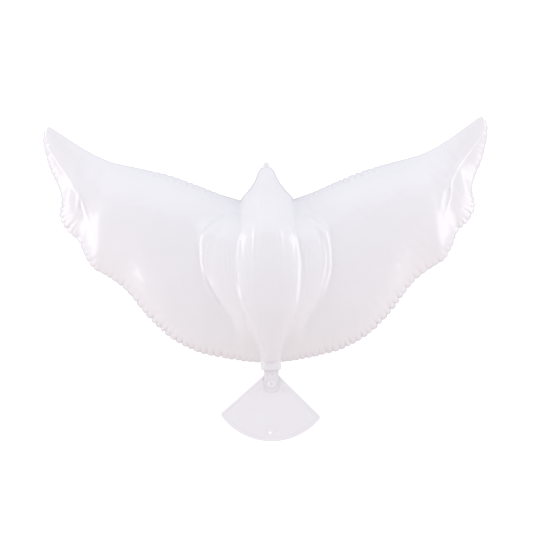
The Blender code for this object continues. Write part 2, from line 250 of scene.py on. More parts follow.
def sheet_object(name: str, upper: Array, lower: Array) -> bpy.types.Object:
    """Close two grids of points, one over the other, into a thin sheet.

    Args:
        name: The piece's name.
        upper: Rows of points of the upper face.
        lower: The same rows of the lower face.

    Returns:
        The new object.
    """
    rows, columns = upper.shape[:2]
    index = np.arange(rows * columns).reshape(rows, columns)
    start = rows * columns
    corners = (index[:-1, :-1], index[:-1, 1:], index[1:, 1:], index[1:, :-1])
    quads = np.stack(corners, axis=-1).reshape(-1, 4)
    faces = quads.tolist() + (quads[:, ::-1] + start).tolist()
    border = [*index[0, :-1], *index[:-1, -1], *index[-1, :0:-1], *index[:0:-1, 0]]
    for first, second in zip(border, border[1:] + border[:1]):
        faces.append((int(second), int(first), int(first) + start, int(second) + start))
    points = np.vstack((upper.reshape(-1, 3), lower.reshape(-1, 3)))
    return tidy_normals(mesh_object(name, points.tolist(), faces))


def ring_sheet(name: str, upper: Array, lower: Array) -> bpy.types.Object:
    """Close two grids of rings, one over the other, into a thin sheet with a hole.

    Args:
        name: The piece's name.
        upper: Rings of points of the upper face, from the hole outwards.
        lower: The same rings of the lower face.

    Returns:
        The new object.
    """
    rings, sides = upper.shape[:2]
    index = np.arange(rings * sides).reshape(rings, sides)
    after = np.roll(index, -1, axis=1)
    start = rings * sides
    quads = np.stack((index[:-1], index[1:], after[1:], after[:-1]), axis=-1).reshape(-1, 4)
    faces = quads.tolist() + (quads[:, ::-1] + start).tolist()
    for ring in (0, rings - 1):
        for first, second in zip(index[ring], after[ring]):
            faces.append((int(first), int(second), int(second) + start, int(first) + start))
    points = np.vstack((upper.reshape(-1, 3), lower.reshape(-1, 3)))
    return tidy_normals(mesh_object(name, points.tolist(), faces))


def tidy_normals(obj: bpy.types.Object) -> bpy.types.Object:
    """Turn all faces of a closed piece outwards.

    Args:
        obj: The piece.

    Returns:
        The same piece.
    """
    edit = bmesh.new()
    edit.from_mesh(obj.data)
    bmesh.ops.recalc_face_normals(edit, faces=edit.faces)
    edit.to_mesh(obj.data)
    edit.free()
    return obj


def join_piece(obj: bpy.types.Object, node: str) -> None:
    """Let a finished piece ride on the balloon and stand for a CAD node, whose part it hides.

    Args:
        obj: The piece.
        node: The CAD node that it stands for.
    """
    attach(obj, "root")
    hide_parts(node)
    LOG.info("%s: %d faces, stands for %s", obj.name, len(obj.data.polygons), node)


def add_node(
    tree: bpy.types.NodeTree, kind: str, links: dict, **settings: object,
) -> bpy.types.Node:
    """Add a shader node.

    Args:
        tree: The material's node tree.
        kind: The node's type name.
        links: For each input's name, the output socket or the value that feeds it.
        settings: The node's own properties.

    Returns:
        The new node.
    """
    node = tree.nodes.new(kind)
    for name, value in settings.items():
        setattr(node, name, value)
    for name, value in links.items():
        if isinstance(value, bpy.types.NodeSocket):
            tree.links.new(value, node.inputs[name])
        else:
            node.inputs[name].default_value = value
    return node


def colour_output(mix: bpy.types.Node) -> bpy.types.NodeSocket:
    """The colour output of a mix node, which has one output for each kind of data."""
    return next(socket for socket in mix.outputs if socket.type == "RGBA")


@dataclass(frozen=True)
class FilmFinish:
    """White plastic with a soft gloss, slightly uneven from being drawn tight or moulded.

    Attributes:
        name: The material's name.
        colour: The main colour, in sRGB.
        shade: The colour of its slightly darker patches, in sRGB.
        roughness: Of the surface.
        ripple_mm: The distance between its fine ripples.
        ripple_depth_mm: The height of its fine ripples.
        ior: Index of refraction, which is about the same for polythene and nylon.
        coat: Weight of the thin glossy skin on top.
        coat_roughness: Of that skin.
        patches_per_metre: How close the darker patches lie.
        patchiness: How far the roughness strays from its middle value, as a share.
    """

    name: str
    colour: str
    shade: str
    roughness: float
    ripple_mm: float
    ripple_depth_mm: float
    ior: float = 1.52
    coat: float = 0.6
    coat_roughness: float = 0.12
    patches_per_metre: float = 9.0
    patchiness: float = 0.15

    def make(self) -> bpy.types.Material:
        """Build the material's nodes.

        Returns:
            The new material.
        """
        material = bpy.data.materials.new(self.name)
        material.use_nodes = True
        tree = material.node_tree
        shader = tree.nodes["Principled BSDF"]
        shader.inputs["IOR"].default_value = self.ior
        shader.inputs["Metallic"].default_value = 0.0
        shader.inputs["Coat Weight"].default_value = self.coat
        shader.inputs["Coat Roughness"].default_value = self.coat_roughness
        place = add_node(tree, "ShaderNodeTexCoord", {}).outputs["Object"]
        patches = add_node(tree, "ShaderNodeTexNoise", {
            "Vector": place, "Scale": self.patches_per_metre, "Detail": 2.0,
        })
        tint = add_node(tree, "ShaderNodeMix", {
            "Factor": patches.outputs["Fac"], "A": linear(self.colour), "B": linear(self.shade),
        }, data_type="RGBA")
        tree.links.new(colour_output(tint), shader.inputs["Base Color"])
        haze = add_node(tree, "ShaderNodeMapRange", {
            "Value": patches.outputs["Fac"],
            "To Min": self.roughness * (1 - self.patchiness),
            "To Max": self.roughness * (1 + self.patchiness),
        })
        tree.links.new(haze.outputs["Result"], shader.inputs["Roughness"])
        ripples = add_node(tree, "ShaderNodeTexNoise", {
            "Vector": place, "Scale": 1000 / self.ripple_mm, "Detail": 3.0, "Roughness": 0.55,
        })
        bump = add_node(tree, "ShaderNodeBump", {
            "Height": ripples.outputs["Fac"],
            "Distance": self.ripple_depth_mm / 1000, "Strength": 1.0,
        })
        tree.links.new(bump.outputs["Normal"], shader.inputs["Normal"])
        return material


# Film, taken to be nylon and polythene as is usual, rolled smooth and drawn tight by the air in
# it. The eye sees wide, slightly wavy reflections and bright lines along its folds. The 9 mm
# between its fine ripples is an estimate: the photograph is too small to show them
BAG_FILM = FilmFinish("pearl_white_film", "EEEDF1", "EBE9ED", 0.22, 9.0, 0.05)

# The same film lying slack and flat, so its gloss is duller. The eye sees an even white with
# hardly a highlight. The 6 mm between its ripples is an estimate too
FAN_FILM = FilmFinish("matt_white_film", "F1F0F5", "EEECF1", 0.34, 6.0, 0.04)

# White plastic, taken to be polypropylene, moulded in a smooth tool. The eye sees small soft
# highlights on its round edges. A moulded surface's grain is far finer than the 1.2 mm here,
# which is an estimate of what is coarse enough to show
STUD_PLASTIC = FilmFinish("moulded_white_plastic", "EFEDF1", "ECEAEE", 0.3, 1.2, 0.01)


@dataclass(frozen=True)
class Fold:
    """A soft ridge or valley of the film along a curve.

    Attributes:
        rows: Points from one end to the other: X and Y as shares of half the span, how far
            the fold reaches to each side and how high it rises, in millimetres. A height
            below zero makes a valley.
    """

    rows: tuple[tuple[float, float, float, float], ...]

    def height(self, x: Array, y: Array) -> Array:
        """Height of the fold over places.

        Args:
            x: Places along X, in metres.
            y: Places along Y, in the same shape.

        Returns:
            Heights in metres, below zero in a valley.
        """
        last = len(self.rows) - 1
        curve = through(np.array(self.rows), np.linspace(0.0, last, STEPS_PER_ROW * last + 1))
        middle_x, middle_y = curve[:, 0] * HALF_SPAN, curve[:, 1] * HALF_SPAN
        reach, rise = np.maximum(curve[:, 2], 0.5) / 1000, curve[:, 3] / 1000
        margin = 3 * reach.max()
        near = (x > middle_x.min() - margin) & (x < middle_x.max() + margin)
        near &= (y > middle_y.min() - margin) & (y < middle_y.max() + margin)
        gaps = np.hypot(x[near][:, None] - middle_x, y[near][:, None] - middle_y)
        nearest = gaps.argmin(axis=1)
        total = np.zeros_like(x)
        total[near] = rise[nearest] * np.exp(-(gaps.min(axis=1) / reach[nearest]) ** 2)
        return total


@dataclass(frozen=True)
class PleatStyle:
    """How the film gathers into pleats along its seam.

    Attributes:
        spacing: The shortest and longest distance between neighbours.
        depth: The shallowest and deepest valley.
        length: How far the shortest and the longest run in from the seam.
        width: The half width of a valley at the seam.
        spread: How fast a valley widens inwards.
        pull: How far a valley draws the seam in, as a multiple of its depth.
        pull_reach: How far in from the seam the film is drawn along.
        sway: How far pleats push the seam up and down in turn.
        sway_width: How wide a push is along the seam.
        sway_reach: How far in from the seam it is felt.
        lean: How far pleats lean from the seam's normal, as a usual slope.
        search: How far along the seam a valley is still worked out.
        full_from: How far in from the seam valleys and folds have their full height.
    """

    spacing: Point = (0.0105, 0.0150)
    depth: Point = (0.0010, 0.0022)
    length: Point = (0.010, 0.036)
    width: float = 0.0017
    spread: float = 0.10
    pull: float = 1.35
    pull_reach: float = 0.006
    sway: float = 0.0009
    sway_width: float = 0.0045
    sway_reach: float = 0.012
    lean: float = 0.10
    search: float = 0.03
    full_from: float = 0.004


class SeamPleats:
    """The pleats along one edge of the bag, from wing tip to wing tip."""

    def __init__(self, line: Array, strength: Array, seed: int, style: PleatStyle) -> None:
        """Place the pleats.

        Args:
            line: Points along the seam, in metres.
            strength: How strongly the seam is pleated at each of them.
            seed: Chooses the pleats' places and sizes.
            style: Their usual sizes.
        """
        self.line = line
        self.style = style
        steps = np.linalg.norm(np.diff(line, axis=0), axis=1)
        self.run = np.concatenate(([0.0], np.cumsum(steps)))
        self.tangent = np.gradient(line, axis=0)
        self.tangent /= np.linalg.norm(self.tangent, axis=1)[:, None]
        rng = np.random.default_rng(seed)
        places = np.cumsum(rng.uniform(*style.spacing, int(self.run[-1] / style.spacing[0])))
        self.places = places[places < self.run[-1]]
        count = len(self.places)
        power = np.interp(self.places, self.run, strength)
        self.depth = rng.uniform(*style.depth, count) * power
        shortest, longest = style.length
        self.length = shortest + (longest - shortest) * rng.beta(1.3, 2.2, count)
        self.length = self.length * (0.5 + 0.5 * power)
        self.lean = rng.normal(0.0, style.lean, count)
        in_turn = np.where(np.arange(count) % 2 == 0, 1.0, -1.0)
        self.turn = in_turn * rng.uniform(0.5, 1.0, count) * power

    def locate(self, points: Array) -> tuple[Array, Array]:
        """How far along the seam and how far in from it each point lies.

        Args:
            points: Places in the seam's plane, in metres.

        Returns:
            The run along the seam and the distance from it.
        """
        run = np.empty(len(points))
        inset = np.empty(len(points))
        for start in range(0, len(points), PLACES_AT_ONCE):
            part = slice(start, start + PLACES_AT_ONCE)
            gap = points[part, None, :] - self.line[None]
            squares = (gap ** 2).sum(axis=2)
            nearest = squares.argmin(axis=1)
            offset = points[part] - self.line[nearest]
            along = (offset * self.tangent[nearest]).sum(axis=1)
            step = self.run[-1] / len(self.run)
            along = np.clip(along, -step, step)
            run[part] = self.run[nearest] + along
            inset[part] = np.sqrt(np.maximum((offset ** 2).sum(axis=1) - along ** 2, 0.0))
        return run, inset

    def valleys(self, run: Array, inset: Array) -> Array:
        """Depth of the pleats' valleys at places beside the seam.

        Args:
            run: How far along the seam each place lies.
            inset: How far in from the seam it lies.

        Returns:
            Depths in metres.
        """
        total = np.zeros_like(run)
        for place, depth, length, lean in zip(self.places, self.depth, self.length, self.lean):
            near = (np.abs(run - place) < self.style.search) & (inset < length)
            if depth <= 0 or not near.any():
                continue
            width = self.style.width + self.style.spread * inset[near]
            off = (run[near] - place - lean * inset[near]) / width
            total[near] += depth * np.exp(-off ** 2) * (1 - inset[near] / length) ** 1.2
        return total

    def sway(self, run: Array) -> Array:
        """How far the seam is pushed up or down along its run.

        Args:
            run: Places along the seam.

        Returns:
            The push upwards at each place.
        """
        total = np.zeros_like(run)
        for place, turn in zip(self.places, self.turn):
            total += turn * np.exp(-((run - place) / self.style.sway_width) ** 2)
        return total * self.style.sway


@dataclass(frozen=True)
class BagSize:
    """Driving sizes of the inflated bag.

    Attributes:
        wing_thickness: Of a wing's pillow, both films together.
        head_thickness: Of the head, both films together.
        back_height: Of the spine above the seam.
        belly_depth: Of the belly below the seam.
        belly_flat: How much the belly would bulge lower without the floor.
        lead_seam: Width of the flat sealed band along the leading edge.
        trail_seam: The same along the trailing edge.
        seam_thickness: Of its two films.
        neck_width: Of the filling neck's tube.
        neck_height: Of the tube.
        neck_reach: How far up the body the film covers the tube, as a share of half the span.
        spine_edge: How softly the spine ends at its sides, from one half for a round edge.
        flank_edge: The same of the flanks.
        shoulder_edge: The same of the flanks' front ends.
        lopsided: How much wider the left flank's front is than the middle of both, as a share.
        head_blend: How far the head's section blends into the body, as a share of half the span.
        head_power: How bluntly the head's height falls towards the beak.
        section_power: How full a thick rib's section is. Lower is fuller.
        section_thinning: What is added to that towards a rib without thickness.
        edge_crowding: How strongly the grid is crowded towards the seams.
        neck_blend: How far along the body the film passes over to the neck tube.
        free_from: How far in from the seam the film waves freely.
    """

    wing_thickness: float = 0.116
    head_thickness: float = 0.086
    back_height: float = 0.092
    belly_depth: float = SEAM_HEIGHT
    belly_flat: float = 0.010
    lead_seam: float = 0.0020
    trail_seam: float = 0.0026
    seam_thickness: float = 0.0008
    neck_width: float = 0.0404
    neck_height: float = 0.0266
    neck_reach: float = -0.29
    spine_edge: float = 0.60
    flank_edge: float = 0.75
    shoulder_edge: float = 0.66
    lopsided: float = 0.055
    head_blend: float = 0.070
    head_power: float = 0.75
    section_power: float = 0.74
    section_thinning: float = 0.50
    edge_crowding: float = 0.75
    neck_blend: float = 0.020
    free_from: float = 0.020


@dataclass(frozen=True)
class Easing:
    """Where and how strongly bends between the body's parts are eased.

    Attributes:
        head_middle: Y of the head's base, as a share of half the span, like all places here.
        head_reach: How far from it the easing runs.
        head_side: How far out from the middle line that easing ends.
        root_reach: How far the easing runs to each side of a wing's root rib.
        root_start: Y below which the root ribs are eased.
        passes: How often each height is drawn towards its neighbours.
        strength: The share by which it is drawn each time.
    """

    head_middle: float = 0.350
    head_reach: float = 0.055
    head_side: float = 0.19
    root_reach: float = 0.03
    root_start: float = -0.16
    passes: int = 90
    strength: float = 0.8


@dataclass(frozen=True)
class FlankWrinkles:
    """Fine lengthwise wrinkles on the body's flanks.

    Attributes:
        spacing: The distance between wrinkles.
        rise: Their height.
        across: Distance of their middle from the body's middle line, as a share of half the
            span, and how far they spread.
        along: The same for their place along the body.
    """

    spacing: float = 0.0078
    rise: float = 0.00030
    across: Point = (0.165, 0.042)
    along: Point = (0.10, 0.16)

    def height(self, x: Array, y: Array) -> Array:
        """Height of the wrinkles over places.

        Args:
            x: Places along X, in metres.
            y: Places along Y, in the same shape.

        Returns:
            Heights in metres.
        """
        across, along = np.abs(x) / HALF_SPAN, y / HALF_SPAN
        where = np.exp(-((across - self.across[0]) / self.across[1]) ** 2)
        where = where * np.exp(-((along - self.along[0]) / self.along[1]) ** 2)
        bent = x + 0.003 * np.sin(along * 11 + np.sign(x)) + waves(x, y, 51, 0.060, 0.0016)
        patchy = np.clip(0.6 + waves(x, y, 52, 0.050, 0.5), 0.0, 1.2)
        return self.rise * where * patchy * np.sin(2 * pi * bent / self.spacing)


@dataclass(frozen=True)
class GridSteps:
    """How finely the bag is drawn.

    Attributes:
        ribs: Steps from the middle to a wing's tip.
        upper: Steps across the upper film.
        lower: Steps across the lower film.
        flange: Steps across the sealed band.
    """

    ribs: int = 370
    upper: int = 92
    lower: int = 24
    flange: int = 2


# Soft unevenness of the drawn film: a seed, the distance between waves and their height
FILM_WAVES = ((5, 0.085, 0.0003), (6, 0.024, 0.00012))

# The folds that the photograph shows on the upper film, from the body outwards
LEFT_FOLDS = (
    # The flank's outer crest
    Fold((
        (-0.132, 0.304, 2.9, 0.0), (-0.170, 0.284, 5.7, 1.6), (-0.228, 0.256, 8.6, 3.4),
        (-0.272, 0.234, 11.5, 5.4), (-0.290, 0.187, 8.0, 4.0), (-0.290, 0.137, 3.8, 2.2),
        (-0.291, 0.079, 3.1, 1.7), (-0.275, -0.002, 3.1, 1.5), (-0.228, -0.093, 3.2, 1.2),
        (-0.180, -0.157, 3.1, 0.7), (-0.142, -0.221, 3.1, 0.0),
    )),
    # The valley inside the crest
    Fold((
        (-0.180, 0.258, 2.3, 0.0), (-0.218, 0.214, 2.3, -0.7), (-0.238, 0.177, 2.1, -0.7),
        (-0.248, 0.123, 2.1, -0.4), (-0.256, 0.070, 2.1, 0.0),
    )),
    # A second crest inside it
    Fold((
        (-0.256, 0.204, 2.3, 0.0), (-0.268, 0.146, 2.1, 0.9), (-0.274, 0.088, 2.1, 0.8),
        (-0.265, 0.024, 2.1, 0.0),
    )),
    # A crest beside the spine's middle
    Fold((
        (-0.044, 0.334, 2.5, 0.6), (-0.054, 0.289, 2.5, 1.1), (-0.057, 0.226, 2.5, 1.1),
        (-0.064, 0.150, 2.5, 0.9), (-0.067, 0.038, 2.9, 0.5), (-0.065, -0.088, 3.1, 0.0),
    )),
    # The crest where the spine meets the flank
    Fold((
        (-0.079, 0.276, 2.5, 0.0), (-0.117, 0.201, 2.7, 0.7), (-0.136, 0.120, 2.7, 0.7),
        (-0.143, 0.021, 2.9, 0.8), (-0.115, -0.096, 3.4, 1.3), (-0.068, -0.210, 3.4, 1.3),
        (-0.043, -0.278, 2.9, 0.6), (-0.031, -0.332, 2.7, 0.0),
    )),
    # The ridge from the wing's tip
    Fold((
        (-0.975, 0.617, 1.3, 0.3), (-0.944, 0.569, 1.7, 0.6), (-0.900, 0.503, 2.5, 0.9),
        (-0.862, 0.439, 3.6, 1.3), (-0.840, 0.403, 4.2, 1.4), (-0.846, 0.353, 3.0, 0.7),
        (-0.858, 0.309, 2.5, 0.0),
    )),
    # Its branch towards the trailing edge
    Fold((
        (-0.835, 0.402, 3.1, 0.8), (-0.819, 0.357, 2.5, 1.4), (-0.806, 0.312, 2.3, 1.0),
        (-0.785, 0.248, 2.1, 0.0),
    )),
    # The valley beside the branch
    Fold((
        (-0.834, 0.380, 1.9, 0.0), (-0.832, 0.353, 1.9, -1.0), (-0.824, 0.321, 1.9, -0.8),
        (-0.816, 0.281, 1.9, 0.0),
    )),
)
RIGHT_FOLDS = (
    # The flank's outer crest
    Fold((
        (0.140, 0.290, 2.9, 0.0), (0.174, 0.275, 5.7, 1.6), (0.212, 0.248, 8.0, 3.4),
        (0.243, 0.220, 7.6, 4.6), (0.262, 0.170, 4.6, 3.0), (0.268, 0.110, 3.1, 2.0),
        (0.266, 0.043, 3.0, 1.8), (0.255, -0.006, 3.0, 1.6), (0.225, -0.086, 3.1, 1.4),
        (0.186, -0.143, 3.1, 0.9), (0.146, -0.200, 3.1, 0.0),
    )),
    # A second crest inside it
    Fold((
        (0.238, 0.174, 2.3, 0.0), (0.248, 0.111, 2.1, 1.1), (0.244, 0.048, 2.1, 1.0),
        (0.224, -0.023, 2.3, 0.4), (0.200, -0.077, 2.3, 0.0),
    )),
    # The valley inside the crest
    Fold((
        (0.204, 0.242, 2.3, 0.0), (0.225, 0.197, 2.3, -0.8), (0.233, 0.147, 2.1, -0.6),
        (0.231, 0.084, 2.1, 0.0),
    )),
    # A crest beside the spine's middle
    Fold((
        (0.035, 0.332, 2.5, 0.6), (0.045, 0.287, 2.5, 1.1), (0.051, 0.242, 2.5, 1.0),
        (0.058, 0.187, 2.5, 0.9), (0.059, 0.106, 2.9, 0.5), (0.054, 0.017, 3.1, 0.0),
    )),
    # The valley where the spine meets the flank
    Fold((
        (0.083, 0.277, 2.3, 0.0), (0.122, 0.204, 2.3, -0.7), (0.142, 0.118, 2.3, -0.8),
        (0.145, 0.046, 2.3, -0.6), (0.139, -0.030, 2.3, 0.0),
    )),
    # The crest where the spine meets the flank
    Fold((
        (0.134, -0.039, 2.5, 0.0), (0.109, -0.133, 3.1, 1.0), (0.071, -0.213, 3.1, 1.0),
        (0.047, -0.280, 2.7, 0.5), (0.028, -0.333, 2.5, 0.0),
    )),
    # The ridge from the wing's tip
    Fold((
        (0.971, 0.627, 1.3, 0.5), (0.936, 0.584, 1.7, 0.9), (0.899, 0.540, 2.3, 1.4),
        (0.850, 0.481, 3.6, 2.0), (0.824, 0.434, 4.6, 2.2), (0.796, 0.399, 5.3, 1.7),
        (0.777, 0.350, 4.2, 1.0), (0.767, 0.287, 3.1, 0.0),
    )),
    # Its branch towards the trailing edge
    Fold((
        (0.824, 0.430, 2.7, 0.6), (0.820, 0.394, 2.1, 1.4), (0.816, 0.353, 1.9, 1.2),
        (0.800, 0.302, 1.9, 0.9), (0.784, 0.260, 1.9, 0.0),
    )),
    # A short nick across the branch
    Fold((
        (0.819, 0.385, 1.5, 0.9), (0.850, 0.384, 1.5, 0.0),
    )),
)


class Bag:
    """The inflated bag: two films sealed together along one flat, pleated seam."""

    def __init__(self, size: BagSize, steps: GridSteps, origin: Vector) -> None:
        """Lay out the ribs and the seam.

        Args:
            size: Driving sizes.
            steps: How finely to draw the bag.
            origin: The middle of the seam's plane in the world.
        """
        self.size = size
        self.steps = steps
        self.origin = origin
        self.easing = Easing()
        self.wrinkles = FlankWrinkles()
        leading, trailing, thickness, lead_pleat, trail_pleat = self.lay_ribs()
        self.thickness = thickness
        self.edges = (leading, trailing)
        chord = np.linalg.norm(trailing - leading, axis=1)
        self.seams = (
            self.inset(leading, np.minimum(size.lead_seam, chord / 4), -1),
            self.inset(trailing, np.minimum(size.trail_seam, chord / 4), 1),
        )
        style = PleatStyle()
        self.pleats = (
            SeamPleats(self.seams[0], lead_pleat, 11, style),
            SeamPleats(self.seams[1], trail_pleat, 23, style),
        )

    def lay_ribs(self) -> tuple[Array, Array, Array, Array, Array]:
        """Ribs from the left wing's tip to the right wing's tip, evenly along the longer edge.

        Returns:
            Leading points, trailing points, thickness shares and both edges' pleating.
        """
        head_places = np.arange(0, (len(HEAD_OUTLINE) - 1) * STEPS_PER_ROW) / STEPS_PER_ROW
        head = through(HEAD_OUTLINE, head_places)
        root = WING_RIBS[0]
        bow = (root[3] - TAIL_MIDDLE) * (head[:, 0] / root[0]) ** 2
        front = np.zeros((len(head), WING_RIBS.shape[1]))
        front[:, 0:2] = head
        front[:, 2] = head[:, 0]
        front[:, 3] = TAIL_MIDDLE + bow
        front[:, 4:] = root[4:]
        front[:, 6] *= (head[:, 0] / root[0]) ** 2
        wing_places = np.arange(0, (len(WING_RIBS) - 1) * STEPS_PER_ROW + 1) / STEPS_PER_ROW
        wing = through(WING_RIBS, wing_places)
        half = np.vstack((front, wing))
        lead_steps = np.linalg.norm(np.diff(half[:, 0:2], axis=0), axis=1)
        trail_steps = np.linalg.norm(np.diff(half[:, 2:4], axis=0), axis=1)
        run = np.concatenate(([0.0], np.cumsum(np.maximum(lead_steps, trail_steps))))
        even = np.linspace(0.0, run[-1], self.steps.ribs + 1)
        half = np.column_stack([np.interp(even, run, column) for column in half.T])
        other = half[:0:-1].copy()
        other[:, (0, 2)] *= -1
        rows = np.vstack((other, half))
        rows[:, 0:4] *= HALF_SPAN
        return rows[:, 0:2], rows[:, 2:4], rows[:, 4], rows[:, 5], rows[:, 6]

    @staticmethod
    def inset(edge: Array, reach: Array, inward: int) -> Array:
        """Points a distance inside an edge, along its smoothed normal.

        Args:
            edge: Points along the edge.
            reach: The distance at each of them.
            inward: 1 or -1 for the side of the edge that is inside.

        Returns:
            One point for each point of the edge.
        """
        tangent = np.gradient(edge, axis=0)
        kernel = np.ones(7) / 7
        padded = np.pad(tangent, ((3, 3), (0, 0)), mode="edge")
        parts = [np.convolve(padded[:, axis], kernel, "valid") for axis in (0, 1)]
        tangent = np.column_stack(parts)
        tangent /= np.linalg.norm(tangent, axis=1)[:, None]
        normal = np.column_stack((-tangent[:, 1], tangent[:, 0]))
        return edge + normal * inward * reach[:, None]

    def film_height(self, x: Array, y: Array, pillow: Array, crown: float) -> Array:
        """Height of one film above the seam's plane.

        Args:
            x: Places along the wings, as shares of half the span.
            y: Places along the body, as shares of half the span.
            pillow: Height of the wing's plain pillow there.
            crown: Height of the body's spine.

        Returns:
            Heights in metres.
        """
        across = np.abs(x)
        base_width, base = HEAD_OUTLINE[-1]
        along = np.clip((y - base) / self.size.head_blend + 1, 0.0, 1.0)
        along = along ** 2 * (3 - 2 * along)
        share = along * np.clip((1.15 - across / base_width) / 0.3, 0.0, 1.0)
        pillow = pillow + (self.head_height(across, y) - pillow) * share
        places = np.interp(-y, -BODY_STATIONS[:, 0], np.arange(len(BODY_STATIONS)))
        section = through(BODY_STATIONS, places.ravel()).reshape(*y.shape, 5)
        spine_width, spine_rise, flank_width, flank_rise = (section[..., k] for k in range(1, 5))
        rise = crown - self.size.wing_thickness / 2
        in_front = np.clip((y + 0.05) / 0.2, 0.0, 1.0)
        flank_width = flank_width * (1 - self.size.lopsided * np.sign(x) * in_front)
        flank_edge = np.interp(y, (0.10, 0.20), (self.size.flank_edge, self.size.shoulder_edge))
        flank = lobe(across, flank_width, np.maximum(flank_rise, 0.0) * rise, flank_edge)
        spine = lobe(across, spine_width, np.maximum(spine_rise, 0.0) * rise, self.size.spine_edge)
        inside = (y < BODY_STATIONS[0, 0]) & (y > BODY_STATIONS[-1, 0])
        return pillow + np.where(inside, flank + spine, 0.0)

    def smoothed(self, height: Array, x: Array, y: Array) -> Array:
        """Ease the bends where the head meets the body and along the wings' root ribs.

        Args:
            height: Heights of one film, with the seams in the first and last places.
            x: Places along the wings, as shares of half the span.
            y: Places along the body, as shares of half the span.

        Returns:
            The eased heights.
        """
        across = np.abs(x)
        ease = self.easing
        at_head = np.exp(-((y - ease.head_middle) / ease.head_reach) ** 4)
        at_head = at_head * np.clip((ease.head_side - across) / 0.04, 0.0, 1.0)
        at_root = np.exp(-((across - HEAD_OUTLINE[-1, 0]) / ease.root_reach) ** 2)
        at_root = at_root * np.clip((ease.root_start - y) / 0.06, 0.0, 1.0)
        places = np.arange(height.shape[1])
        from_seam = np.clip((np.minimum(places, places[::-1]) - 1) / 4, 0.0, 1.0)
        share = np.maximum(at_head, at_root) * from_seam
        for _ in range(ease.passes):
            around = height.copy()
            beside = height[2:, 1:-1] + height[:-2, 1:-1]
            around[1:-1, 1:-1] = (beside + height[1:-1, 2:] + height[1:-1, :-2]) / 4
            height = height + (around - height) * share * ease.strength
        return height

    def neck_crest(self, x: Array) -> Array:
        """Height of the film over the neck tube at a distance from the middle."""
        half_width = np.full_like(x, self.size.neck_width / 2)
        return lobe(x, half_width, self.size.neck_height / 2)

    def head_height(self, across: Array, y: Array) -> Array:
        """Height of the head's oval section.

        Args:
            across: Distance from the middle line, as a share of half the span.
            y: Places along the body, as shares of half the span.

        Returns:
            Heights in metres.
        """
        front, base = HEAD_OUTLINE[0, 1], HEAD_OUTLINE[-1, 1]
        place = np.clip(y, base, front)
        half_width = np.interp(place, HEAD_OUTLINE[::-1, 1], HEAD_OUTLINE[::-1, 0])
        fall = ((front - place) / (front - base)) ** self.size.head_power
        return lobe(across, half_width, self.size.head_thickness / 2 * fall)

    def film(self, side: Side, count: int) -> Array:
        """Points of one film from the leading edge to the trailing edge.

        Args:
            side: Which film.
            count: Steps across it.

        Returns:
            An array of ribs by places by three coordinates.
        """
        even = np.linspace(0.0, 1.0, count + 1)
        places = even + ((1 - np.cos(pi * even)) / 2 - even) * self.size.edge_crowding
        lead, trail = self.seams
        plan = lead[:, None, :] + (trail - lead)[:, None, :] * places[None, :, None]
        x, y = plan[..., 0], plan[..., 1]
        power = self.size.section_power + self.size.section_thinning * (1 - self.thickness[:, None])
        full = (4 * places * (1 - places))[None, :] ** power
        pillow = self.thickness[:, None] * self.size.wing_thickness / 2 * full
        belly = self.size.belly_depth + self.size.belly_flat
        crown = self.size.back_height if side is Side.UPPER else belly
        height = self.film_height(x / HALF_SPAN, y / HALF_SPAN, pillow, crown)
        height[:, (0, -1)] = 0.0
        height = self.smoothed(height, x / HALF_SPAN, y / HALF_SPAN)
        past = self.size.neck_reach * HALF_SPAN - y
        over_neck = np.clip(past / self.size.neck_blend, 0.0, 1.0)
        height = (height ** 3 + (self.neck_crest(x) * over_neck) ** 3) ** (1 / 3)
        base = np.dstack((x, y, height + self.size.seam_thickness / 2))
        shaped = self.shape_film(base, side)
        shaped[..., 2] *= side.value
        if side is Side.LOWER:
            shaped[..., 2] = np.maximum(shaped[..., 2], -self.size.belly_depth)
        return self.with_flanges(shaped, side)

    def shape_film(self, base: Array, side: Side) -> Array:
        """Add pleats, folds and waves to a film that is drawn above the seam's plane.

        Args:
            base: The plain film.
            side: Which film.

        Returns:
            The film with its detail, still above the seam's plane.
        """
        normal = np.cross(np.gradient(base, axis=1), np.gradient(base, axis=0))
        normal /= np.maximum(np.linalg.norm(normal, axis=2), 1e-9)[..., None]
        normal *= np.where(normal[..., 2:3] < 0, -1.0, 1.0)
        flat = base[..., :2].reshape(-1, 2)
        x, y = base[..., 0], base[..., 1]
        push = np.zeros(x.shape)
        drag = np.zeros((*x.shape, 2))
        lift = np.zeros(x.shape)
        nearest = np.full(x.shape, np.inf)
        for index, pleats in enumerate(self.pleats):
            run, inset = (part.reshape(x.shape) for part in pleats.locate(flat))
            style = pleats.style
            push -= pleats.valleys(run, inset) * np.clip(inset / style.full_from, 0.15, 1.0)
            at_seam = pleats.valleys(run, np.zeros_like(run)) * style.pull
            outward = self.edges[index] - self.seams[index]
            outward = outward / np.maximum(np.linalg.norm(outward, axis=1), 1e-9)[:, None]
            near = np.exp(-(inset / style.pull_reach) ** 2)
            drag -= (at_seam * near)[..., None] * outward[:, None, :]
            lift += pleats.sway(run) * np.exp(-(inset / style.sway_reach) ** 2)
            nearest = np.minimum(nearest, inset)
        free = np.clip(nearest / self.size.free_from, 0.0, 1.0)
        for seed, wavelength, height in FILM_WAVES:
            push += free * waves(x, y, seed, wavelength, height)
        if side is Side.UPPER:
            push += free * self.wrinkles.height(x, y)
            inside = np.clip(nearest / style.full_from, 0.0, 1.0)
            for fold in LEFT_FOLDS + RIGHT_FOLDS:
                push += fold.height(x, y) * inside
        shaped = base + normal * push[..., None]
        shaped[..., :2] += drag
        lowest = self.size.seam_thickness / 2
        shaped[..., 2] = np.maximum(shaped[..., 2], lowest) + lift * side.value
        return shaped

